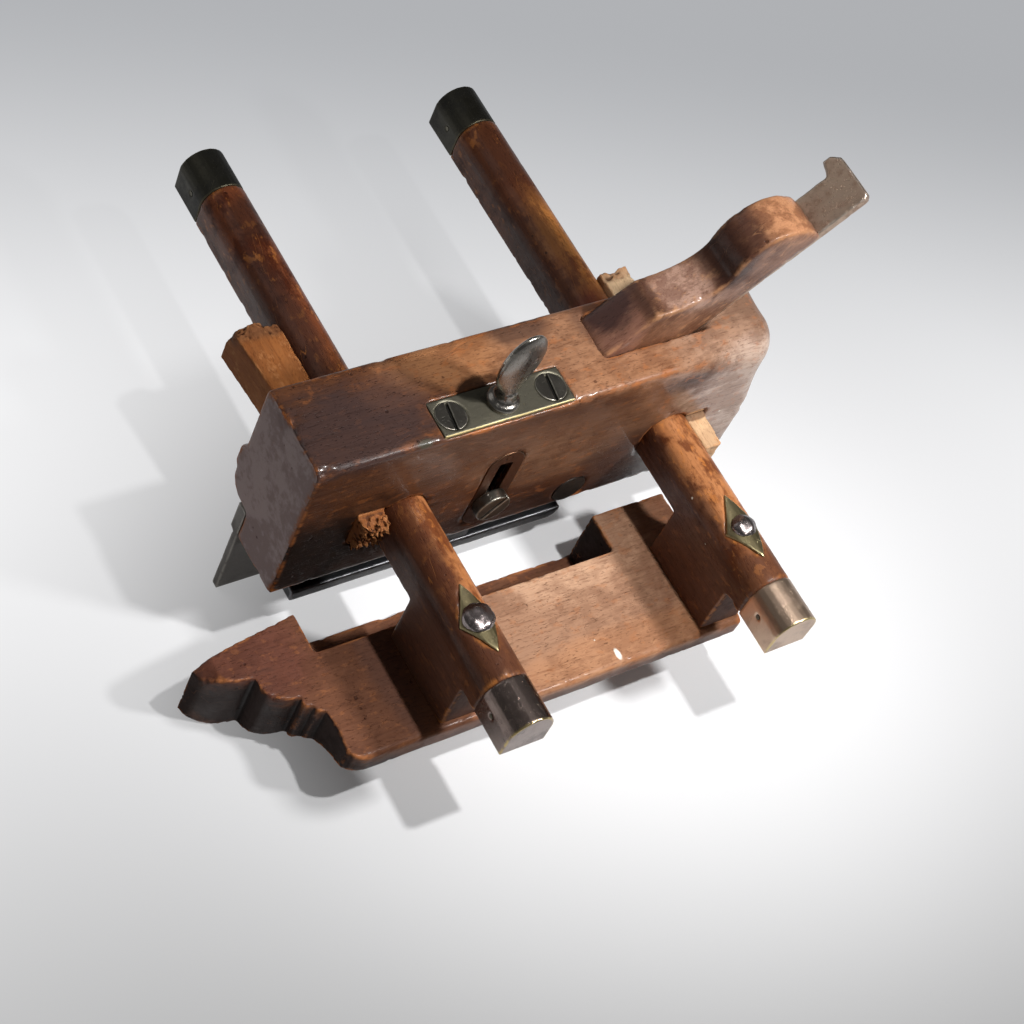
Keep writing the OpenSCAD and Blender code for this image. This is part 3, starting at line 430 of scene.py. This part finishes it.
def old_metal(name, bare, tarnish, deep, bright, cover=0.5, gloss=0.30, pits=0.3, run=(0, 1, 0),
              rub=0.9, rub_before=None, dents=0.5, brush=0.14, mottled=0.3):
    """Metal with a film of tarnish, small pits, fine scratches and rubbed edges.

    rub_before keeps the rubbed edges on the fence's side of a place along Y (millimetres).
    """
    finish = Finish(name)
    broad = finish.noise(finish.stretched(70, 70, 70), 3.0, 0.55)
    cloud = finish.noise(finish.stretched(340, 340, 340), 4.0, 0.6)
    film = (broad * (1.1 - mottled) + cloud * mottled).rise(0.70 - cover * 0.4, 0.98 - cover * 0.4)
    colour = finish.mix(bare, tarnish, film)
    spot = finish.noise(finish.stretched(1300, 1300, 1300), 2.0).rise(0.60, 0.70)
    colour = finish.mix(colour, deep, spot * pits)
    dirt = finish.mark("hollow").rise(0.08, 0.5)
    colour = finish.mix(colour, deep, dirt * 0.85)
    scratch = finish.scratches((0.5, 0.7, 0.4), 40, 700, 0.006) * cloud.rise(0.46, 0.60)
    colour = finish.mix(colour, bright, scratch * 0.22)
    rubbed = (finish.mark("edge") * (cloud.rise(0.30, 0.55) * 0.6 + 0.4)).rise(0.18, 0.8) * rub
    if rub_before is not None:
        across = finish.node("ShaderNodeSeparateXYZ", None, {0: finish.place}, "Y")
        rubbed = rubbed * across.rise((rub_before + 0.3) * MM, (rub_before - 0.3) * MM)
    colour = finish.mix(colour, bright, rubbed)
    brushed = finish.noise(finish.along(run, 90, 2600), 2.0)
    rough = gloss + film * 0.12 + spot * 0.2 * pits + (brushed - 0.5) * brush - rubbed * 0.06
    shine = 1.0 - film * 0.2 - dirt * 0.3
    height = cloud * dents - spot * pits * 1.6 + brushed * brush - scratch * 0.3
    normal = finish.bump(height, 0.00010, 0.7)
    return finish.set(Base_Color=colour, Metallic=shine, Roughness=rough, Normal=normal)


# The near ferrule brass, painted darker on the toe stem: painted shade.
def shaded_toe_brass():
    return old_metal("toe stem brass painted shade", (0.235, 0.180, 0.158), (0.112, 0.084, 0.077), (0.014, 0.011, 0.010),
                     (0.560, 0.430, 0.190), cover=0.5, gloss=0.24, pits=0.10, rub_before=FENCE_SIDE - 84,
                     brush=0.04)


# The same near ferrule brass, painted paler on the heel stem: painted light.
def lit_heel_brass():
    return old_metal("heel stem brass painted light", (0.520, 0.375, 0.275), (0.300, 0.212, 0.162), (0.040, 0.030, 0.024),
                     (0.680, 0.540, 0.260), cover=0.45, gloss=0.34, pits=0.10, rub_before=FENCE_SIDE - 84,
                     brush=0.06)


def far_brass():
    return old_metal("black brass", (0.048, 0.045, 0.035), (0.022, 0.021, 0.018), (0.010, 0.010, 0.008),
                     (0.20, 0.17, 0.10), cover=0.6, gloss=0.46, pits=0.2, rub=0.25)


def plate_brass():
    return old_metal("plate brass", (0.150, 0.138, 0.104), (0.072, 0.066, 0.050), (0.012, 0.012, 0.010),
                     (0.70, 0.56, 0.26), cover=0.5, gloss=0.50, pits=0.3, run=(1, 0, 0),
                     rub_before=FENCE_SIDE + 1.2)


def side_brass():
    return old_metal("side plate brass", (0.115, 0.054, 0.031), (0.060, 0.028, 0.018),
                     (0.008, 0.006, 0.006), (0.20, 0.14, 0.085), cover=0.5, gloss=0.46, pits=0.2, rub=0.22)


def rove_brass():
    return old_metal("rove brass", (0.260, 0.215, 0.118), (0.130, 0.106, 0.058), (0.030, 0.024, 0.014),
                     (0.66, 0.56, 0.30), cover=0.45, gloss=0.36, pits=0.25, rub=0.5)


def dark_bronze():
    return old_metal("dark bronze", (0.240, 0.222, 0.200), (0.100, 0.090, 0.081), (0.014, 0.012, 0.011),
                     (0.58, 0.54, 0.46), cover=0.5, gloss=0.24, pits=0.15, run=(0, 0, 1))


def rivet_steel():
    return old_metal("rivet steel", (0.250, 0.212, 0.205), (0.130, 0.105, 0.102), (0.022, 0.017, 0.016),
                     (0.50, 0.47, 0.45), cover=0.5, gloss=0.27, pits=0.2, rub=0.4, dents=1.6)


def screw_steel():
    return old_metal("screw steel", (0.125, 0.115, 0.098), (0.066, 0.060, 0.050), (0.008, 0.007, 0.006),
                     (0.40, 0.37, 0.31), cover=0.5, gloss=0.36, pits=0.25, rub=0.7)


def iron_steel():
    run = (math.cos(IRON_LEAN), 0, math.sin(IRON_LEAN))
    return old_metal("pitted steel", (0.520, 0.380, 0.285), (0.240, 0.140, 0.094), (0.040, 0.024, 0.017),
                     (0.60, 0.53, 0.46), cover=0.58, gloss=0.42, pits=0.4, run=run, rub=0.6, mottled=0.6)


def skate_iron():
    return old_metal("skate iron", (0.098, 0.088, 0.078), (0.054, 0.046, 0.040), (0.016, 0.013, 0.012),
                     (0.30, 0.28, 0.25), cover=0.5, gloss=0.44, pits=0.5, run=(1, 0, 0), rub=0.6)


def black_iron():
    return old_metal("black iron", (0.046, 0.046, 0.049), (0.024, 0.023, 0.025), (0.008, 0.008, 0.008),
                     (0.20, 0.20, 0.21), cover=0.5, gloss=0.44, pits=0.4, run=(1, 0, 0), rub=0.6)


# Worn pieces

def ripple(points, wavelength, seed):
    """A smooth wandering number between about -1 and 1 at each point (millimetres)."""
    waves = 20
    draw = np.random.default_rng(seed)
    total = np.zeros(len(points))
    for _ in range(waves):
        direction = draw.normal(size=3)
        direction *= draw.uniform(0.4, 1.8) / np.linalg.norm(direction)
        phase = draw.uniform(0, 2 * math.pi)
        total += np.sin(points @ direction * (2 * math.pi / wavelength) + phase)
    return total / math.sqrt(waves / 2) / 1.8


def neighbour_mean(values, edges, count):
    """The mean of each point's neighbours along the mesh's edges."""
    ends = np.concatenate([edges[:, 0], edges[:, 1]])
    others = np.concatenate([edges[:, 1], edges[:, 0]])
    number = np.maximum(np.bincount(ends, minlength=count), 1)
    columns = [np.bincount(ends, weights=column[others], minlength=count) / number
               for column in np.atleast_2d(values.T)]
    return np.array(columns).T if values.ndim > 1 else columns[0]


def remeshed(node, voxel):
    """A copy of a node's mesh with even faces, and its points (millimetres) and edges."""
    source = bpy.data.objects.new("source", frame["nodes"][node].data.copy())
    bpy.context.scene.collection.objects.link(source)
    even = source.modifiers.new("even faces", "REMESH")
    even.mode = "VOXEL"
    even.voxel_size = voxel * MM
    even.use_smooth_shade = True
    graph = bpy.context.evaluated_depsgraph_get()
    mesh = bpy.data.meshes.new_from_object(source.evaluated_get(graph))
    bpy.data.objects.remove(source)
    points = np.empty(len(mesh.vertices) * 3)
    mesh.vertices.foreach_get("co", points)
    edges = np.empty(len(mesh.edges) * 2, np.int32)
    mesh.edges.foreach_get("vertices", edges)
    return mesh, points.reshape(-1, 3) / MM, edges.reshape(-1, 2)


def move_points(mesh, points):
    mesh.vertices.foreach_set("co", (points * MM).ravel())
    mesh.update()


def outward(mesh):
    """The outward direction at each point."""
    normals = np.empty(len(mesh.vertices) * 3)
    mesh.vertex_normals.foreach_get("vector", normals)
    return normals.reshape(-1, 3)


def worn_piece(node, finish, voxel, rounding=3, wander=0.0, chips=0.0, shape=None, spread=3, bites=(),
               beaten=0.0):
    """A node's shape with softened edges, slight unevenness and chips, in place of the node.

    voxel is the size of its faces, wander the height of long waves, beaten that of short ones and
    chips the depth of small chips; bites are (middle, radius, depth) of larger ones. All are in
    millimetres. rounding and spread count how often edges are softened and their wear is widened.
    """
    smoothing = 0.5
    widening = 0.7
    edge_gain = 9
    mesh, points, edges = remeshed(node, voxel)
    count = len(points)
    for _ in range(rounding):
        points += smoothing * (neighbour_mean(points, edges, count) - points)
    if shape:
        points = shape(points)
    move_points(mesh, points)
    normals = outward(mesh)
    bend = ((neighbour_mean(points, edges, count) - points) * normals).sum(1) / voxel
    for _ in range(spread):
        bend = (1 - widening) * bend + widening * neighbour_mean(bend, edges, count)
    edge = np.clip(-bend * edge_gain, 0, 1)
    hollow = np.clip(bend * edge_gain, 0, 1)
    seed = sum(map(ord, node))
    ragged = 0.6 * ripple(points, 11, seed) + 0.5 * ripple(points, 4.3, seed + 2)
    inward = edge * np.clip(ragged - 0.25, 0, 1) * chips
    for middle, radius, depth in bites:
        near = np.clip(1 - ((points - middle) ** 2).sum(1) / radius ** 2, 0, 1)
        inward = inward + depth * near * (1 + 0.5 * ripple(points, 3.1, seed + 3))
    uneven = ripple(points, 34, seed + 1) * wander + ripple(points, 6, seed + 4) * beaten
    move_points(mesh, points + normals * (uneven - inward)[:, None])
    for name, values in (("edge", edge), ("hollow", hollow)):
        mesh.attributes.new(name, "FLOAT", "POINT").data.foreach_set("value", values)
    piece = bpy.data.objects.new("worn_" + node, mesh)
    bpy.context.scene.collection.objects.link(piece)
    mesh.materials.clear()
    mesh.materials.append(finish)
    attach(piece, frame["nodes"][node]["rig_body"])
    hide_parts(node)


def handled_heel(points):
    """The corner at the top of the heel on the fence side, worn to a ball by the hand."""
    ball_radius = 14.0
    edge_radius = 2.0
    ball_reach = 16
    fading = 44
    corner = np.array((HEEL, FENCE_SIDE, STOCK_TOP))
    out = np.array((1, -1, 1))
    away = np.clip((np.linalg.norm(points - corner, axis=1) - ball_reach) / fading, 0, 1)
    close = 1 - away * away * (3 - 2 * away)
    radius = (edge_radius + (ball_radius - edge_radius) * close)[:, None]
    inner = (points - corner) * out + radius
    beyond = np.maximum(inner, 0)
    reach = np.linalg.norm(beyond, axis=1, keepdims=True)
    pull = np.where(reach > radius, radius / np.maximum(reach, 1e-6), 1.0)
    inner = np.where(inner > 0, beyond * pull, inner)
    return corner + (inner - radius) * out


def crumbled(points, end, depth, seed):
    """How far the top of a wedge's thick end has crumbled away, at each point."""
    _, y, z = points.T
    close = np.clip((y - end + depth) / depth, 0, 1)
    crest = np.clip((z - UNDERSIDE - 29) / 9, 0, 1)
    lumps = 0.7 * ripple(points, 9, seed) + 0.3 * ripple(points, 4, seed + 1)
    lumps = lumps + 0.12 * ripple(points, 2, seed + 2)
    return close * crest * np.clip(0.45 + lumps, 0, 1.6)


def torn_toe_wedge(points):
    """The thin end is broken away below and fibrous, the thick end crumbled at its top."""
    x, y, z = points.T
    fibres = ripple(points * (1, 0.2, 1), 2.2, 11) + 0.7 * ripple(points * (1, 0.4, 1), 1.3, 12)
    thin = np.clip((FENCE_SIDE - y) / 4, 0, 1)
    low = np.clip((UNDERSIDE + 31 - z) / 10, 0, 1)
    gone = crumbled(points, TOE_WEDGE_END, 8, 15)
    y = y + thin * (1.3 * fibres + 2.6 * low) - 2.2 * gone
    z = z + thin * 0.6 * ripple(points, 2.6, 13) - 1.6 * gone
    x = x + thin * 0.6 * ripple(points, 2.3, 14)
    return np.stack([x, y, z], 1)


def torn_heel_wedge(points):
    """The thin end is cut clean and cut back at its top, the thick end crumbled at its top."""
    x, y, z = points.T
    thin = np.clip((FENCE_SIDE - 9 - y) / 4, 0, 1)
    gone = crumbled(points, HEEL_WEDGE_END, 6, 23)
    x = x + 0.25 * np.clip((FENCE_SIDE - y) / 2, 0, 1)
    y = y + thin * 0.25 * ripple(points, 5, 21) - 2.2 * gone
    cut = FENCE_SIDE + 1.4
    y = np.where((z > UNDERSIDE + 33.2) & (y < cut), cut, y)
    z = z - 1.6 * gone
    return np.stack([x, y, z], 1)


def beaten_rivets(points):
    """The heads beaten down, the one on the heel stem smaller."""
    x, y, z = points.T
    level = UNDERSIDE + 39.6
    across = (y.max() + y.min()) / 2
    small = np.where((x > 0) & (z > UNDERSIDE + 33), 0.80, 1.0)
    x = HEEL_STEM + (x - HEEL_STEM) * small
    y = across + (y - across) * small
    z = np.where(z > level, level + (z - level) * 0.70, z)
    return np.stack([x, y, z], 1)


def dress_wood():
    stems = stem_wood()
    fresh = fresh_wood()
    corner_chips = [((HEEL, FENCE_SIDE + 1, UNDERSIDE + 30), 5.0, 1.6),
                    ((TOE + 3, FENCE_SIDE, STOCK_TOP), 4.0, 0.8),
                    ((TOE, FENCE_SIDE + 24, STOCK_TOP), 6.0, 0.9)]
    worn_piece("stock", stock_wood(), 0.9, rounding=3, wander=0.05, chips=0.8, shape=handled_heel,
               bites=corner_chips)
    worn_piece("fence", fence_wood(), 0.7, rounding=3, wander=0.12, chips=1.6)
    for stem in ("toe_stem", "heel_stem"):
        worn_piece(stem, stems, 0.7, rounding=3, wander=0.02, chips=0.9)
    worn_piece("iron_wedge", iron_wedge_wood(), 0.7, rounding=9, wander=0.10, chips=0.7, spread=4)
    worn_piece("toe_stem_wedge", fresh, 0.45, rounding=2, wander=0.03, chips=0.6, shape=torn_toe_wedge)
    worn_piece("heel_stem_wedge", fresh, 0.45, rounding=2, wander=0.03, chips=0.6, shape=torn_heel_wedge)


def dress_metal():
    far = far_brass()
    roves = rove_brass()
    for stem, near in (("toe", shaded_toe_brass()), ("heel", lit_heel_brass())):
        worn_piece(stem + "_near_ferrule", near, 0.45, rounding=2, wander=0.04, spread=2)
        worn_piece(stem + "_far_ferrule", far, 0.45, rounding=2, wander=0.04, spread=2)
        worn_piece(stem + "_rove", roves, 0.35, rounding=1, wander=0.05, spread=2)
    plate = plate_brass()
    side = side_brass()
    worn_piece("top_plate", plate, 0.4, rounding=1, wander=0.02, spread=1)
    worn_piece("side_plate", side, 0.4, rounding=1, wander=0.02, spread=1)
    screws = screw_steel()
    worn_piece("top_plate_screws", screws, 0.25, rounding=1, spread=1)
    worn_piece("stop_lock_screw", screws, 0.3, rounding=2, spread=1)
    worn_piece("thumbscrew", dark_bronze(), 0.35, rounding=5, wander=0.05, spread=2)
    rivets = rivet_steel()
    worn_piece("fence_rivets", rivets, 0.35, rounding=2, spread=2, beaten=0.25, shape=beaten_rivets)
    worn_piece("plough_iron", iron_steel(), 0.55, rounding=2, wander=0.08, chips=0.3, spread=2)
    skate = skate_iron()
    for half in ("front_skate", "rear_skate"):
        worn_piece(half, skate, 0.7, rounding=1, wander=0.04, chips=0.2, spread=2)
    black = black_iron()
    worn_piece("stop_shoe", black, 0.6, rounding=2, wander=0.05, chips=0.2, spread=2)
    kept = {"stop_bar": black, "skate_rivets": skate, "skate_disc": skate, "rivet_burrs": rivets,
            "ferrule_pins": plate, "side_plate_pins": side}
    for node, finish in kept.items():
        materials = frame["nodes"][node].data.materials
        materials.clear()
        materials.append(finish)


# Stage

def floor():
    """A pale table: part of its tone is only seen directly or mirrored, so the far side stays even."""
    half = 2500 * MM
    level = -0.2 * MM
    mesh = bpy.data.meshes.new("table")
    corners = [(x * half, y * half, level) for x, y in ((-1, -1), (1, -1), (1, 1), (-1, 1))]
    mesh.from_pydata(corners, [], [(0, 1, 2, 3)])
    table = bpy.data.objects.new("table", mesh)
    bpy.context.scene.collection.objects.link(table)
    finish = Finish("table", Roughness=0.75)
    from_camera = (0.35, 0.90, 0.0)
    brightest = (0.02, -0.13, 0.0)
    away = finish.node("ShaderNodeVectorMath", {"operation": "DOT_PRODUCT"},
                       {0: finish.place, 1: from_camera}, "Value")
    # painted pool of light: the table's tone is lightest across the middle, darker towards the camera and
    # far away
    tone = finish.mix((0.40, 0.40, 0.40), (0.97, 0.97, 0.98), away.rise(-0.32, 0.0))
    tone = finish.mix(tone, (0.47, 0.48, 0.50), away.rise(0.0, 0.26))
    finish.set(Base_Color=finish.shade(tone, (0.88, 0.88, 0.88), 1.0))
    glow = finish.node("ShaderNodeEmission", None, {"Color": tone, "Strength": 1.0})
    seen = finish.node("ShaderNodeLightPath", None, None, "Is Camera Ray")
    mirrored = finish.node("ShaderNodeLightPath", None, None, "Is Glossy Ray")
    reach = finish.node("ShaderNodeVectorMath", {"operation": "DISTANCE"},
                        {0: finish.place, 1: brightest}, "Value")
    share = (reach.rise(0.08, 0.30) * 0.85 + 0.04) * (seen + mirrored)
    lit = Value(finish, finish.shader.outputs[0])
    surface = finish.node("ShaderNodeMixShader", None, {0: share, 1: lit, 2: glow})
    finish.tree.links.new(surface.socket, finish.tree.nodes["Material Output"].inputs["Surface"])
    mesh.materials.append(finish.material)


def lamp(name, place, aim, side, spread, watts):
    """A round soft lamp; its places and side in millimetres, its spread in degrees."""
    light = bpy.data.lights.new(name, "AREA")
    light.shape = "DISK"
    light.size = side * MM
    light.spread = math.radians(spread)
    light.energy = watts
    lit = bpy.data.objects.new(name, light)
    lit.location = Vector(place) * MM
    lit.rotation_euler = ((Vector(aim) - Vector(place)) * MM).to_track_quat("-Z", "Y").to_euler()
    bpy.context.scene.collection.objects.link(lit)


def lights():
    """Three lamps in a dim white surround, which the camera sees paler than it lights."""
    lamp("heel lamp", (230, -270, 470), (20, -40, 50), 60, 80, 0.50)
    lamp("top lamp", (64, -168, 620), (-10, -70, 30), 26, 80, 0.46)
    lamp("back lamp", (-500, 700, 700), (0, 0, 50), 700, 180, 0.8)
    world = bpy.data.worlds.new("studio")
    world.use_nodes = True
    tree = world.node_tree
    tree.nodes["Background"].inputs["Color"].default_value = (1.0, 1.0, 1.0, 1.0)
    seen = tree.nodes.new("ShaderNodeLightPath")
    level = tree.nodes.new("ShaderNodeMapRange")
    level.inputs["To Min"].default_value = 0.10
    level.inputs["To Max"].default_value = 0.46
    tree.links.new(seen.outputs["Is Camera Ray"], level.inputs["Value"])
    tree.links.new(level.outputs[0], tree.nodes["Background"].inputs["Strength"])
    bpy.context.scene.world = world


def camera():
    """The photograph's view of the plane."""
    place = Vector((-427.093, -336.157, 704.117))
    right = Vector((0.8228, -0.4793, 0.3055))
    up = Vector((0.2642, 0.7984, 0.5410))
    back = right.cross(up).normalized()
    up = back.cross(right).normalized()
    lens = bpy.data.cameras.new("camera")
    lens.lens = 82.43
    lens.sensor_width = 36.0
    lens.clip_start = 0.01
    eye = bpy.data.objects.new("camera", lens)
    turn = Matrix((right.normalized(), up, back)).transposed().to_4x4()
    eye.matrix_world = Matrix.Translation(place * MM) @ turn
    bpy.context.scene.collection.objects.link(eye)
    bpy.context.scene.camera = eye


dress_wood()
dress_metal()
floor()
lights()
camera()
bpy.context.scene.view_settings.view_transform = "Standard"
